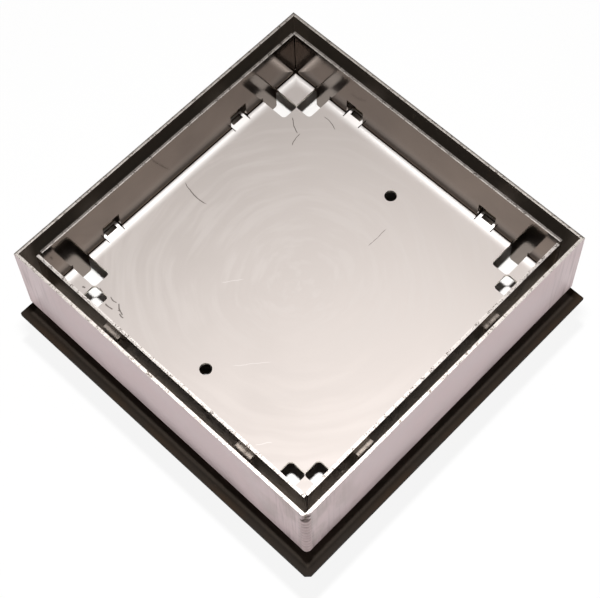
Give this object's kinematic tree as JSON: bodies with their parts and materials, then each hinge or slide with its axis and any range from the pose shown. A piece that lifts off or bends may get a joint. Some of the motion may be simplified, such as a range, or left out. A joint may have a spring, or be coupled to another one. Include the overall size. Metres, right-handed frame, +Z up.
{
  "type": "tile insert drain",
  "caption": "Square floor drain with a folded steel frame, a lift-out tray that takes a cut tile, and a black base flange with an outlet spigot.",
  "frame": {"origin": "centre of the outlet spigot at its lower end", "axes": "+Z up out of the floor, X and Y along the sides of the square"},
  "size_m": [0.1268, 0.1268, 0.066],
  "materials": {
    "black_plastic": "black, smooth, matt",
    "frame_steel": "bright folded sheet with a bare weld at one corner",
    "tray_steel": "bright folded sheet with handling marks"
  },
  "bodies": {
    "root": {"base_flange": "black_plastic", "outer_frame": "frame_steel", "tile_tray": "tray_steel"}
  },
  "joints": []
}
